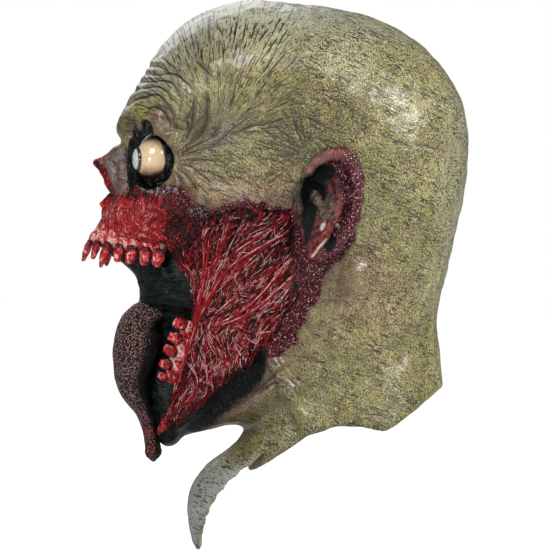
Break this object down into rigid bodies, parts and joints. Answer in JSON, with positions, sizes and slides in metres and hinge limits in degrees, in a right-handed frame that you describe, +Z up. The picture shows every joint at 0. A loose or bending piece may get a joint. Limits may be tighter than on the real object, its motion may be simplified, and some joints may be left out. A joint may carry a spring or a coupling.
{
  "type": "latex halloween mask",
  "caption": "Over-the-head rotting zombie mask: hollow skin, bulging eyes, open mouth with toothed jaws, hanging tongue, torn cheeks and a pointed neck flap.",
  "frame": {"origin": "middle of the crown pad's flat lower face, where the top of the wearer's head bears", "axes": "+Z up through the crown, the face looks towards -Y, the wearer's left is +X"},
  "size_m": [0.2146, 0.2752, 0.3954],
  "materials": {
    "olive_latex": "olive and khaki painted latex with a low sheen",
    "blood_latex": "glossy dark red painted latex",
    "tongue_latex": "dark brown purple granular latex",
    "stained_tooth": "cast resin, red-stained, glossy",
    "painted_eyeball": "cream yellow, clear gloss",
    "clouded_lens": "clouded white, clear gloss",
    "black_latex": "black latex, semi-gloss",
    "grey_foam": "open-cell foam, matt"
  },
  "bodies": {
    "head": {"brow_pad": "grey_foam", "crown_pad": "grey_foam", "head_skin": "olive_latex", "left_cheek_muscle": "blood_latex", "left_ear": "blood_latex", "left_eye_lens": "clouded_lens", "left_eyeball": "painted_eyeball", "lower_gum": "blood_latex", "lower_tooth_left_1": "stained_tooth", "lower_tooth_left_2": "stained_tooth", "lower_tooth_left_3": "stained_tooth", "lower_tooth_left_4": "stained_tooth", "lower_tooth_left_5": "stained_tooth", "lower_tooth_left_6": "stained_tooth", "lower_tooth_right_1": "stained_tooth", "lower_tooth_right_2": "stained_tooth", "lower_tooth_right_3": "stained_tooth", "lower_tooth_right_4": "stained_tooth", "lower_tooth_right_5": "stained_tooth", "lower_tooth_right_6": "stained_tooth", "mouth_lining": "black_latex", "nape_pad": "grey_foam", "right_cheek_muscle": "blood_latex", "right_ear": "blood_latex", "right_eye_lens": "clouded_lens", "right_eyeball": "painted_eyeball", "upper_gum": "blood_latex", "upper_tooth_left_1": "stained_tooth", "upper_tooth_left_2": "stained_tooth", "upper_tooth_left_3": "stained_tooth", "upper_tooth_left_4": "stained_tooth", "upper_tooth_left_5": "stained_tooth", "upper_tooth_left_6": "stained_tooth", "upper_tooth_left_7": "stained_tooth", "upper_tooth_right_1": "stained_tooth", "upper_tooth_right_2": "stained_tooth", "upper_tooth_right_3": "stained_tooth", "upper_tooth_right_4": "stained_tooth", "upper_tooth_right_5": "stained_tooth", "upper_tooth_right_6": "stained_tooth", "upper_tooth_right_7": "stained_tooth"},
    "tongue_base": {"tongue_root": "tongue_latex"},
    "tongue": {"tongue_blade": "tongue_latex"},
    "bib": {"front_bib": "olive_latex"}
  },
  "joints": [
    {"name": "tongue_sway", "type": "hinge", "parent": "head", "child": "tongue_base", "pos_m": [0, -0.099, -0.206], "axis": [0, 1, 0], "range_deg": [-12, 12]},
    {"name": "tongue_lift", "type": "hinge", "parent": "tongue_base", "child": "tongue", "pos_m": [0, -0.107, -0.2024], "axis": [1, 0, 0], "range_deg": [-20, 0]},
    {"name": "bib_lift", "type": "hinge", "parent": "head", "child": "bib", "pos_m": [0, -0.041, -0.301], "axis": [1, 0, 0], "range_deg": [-30, 0]}
  ]
}
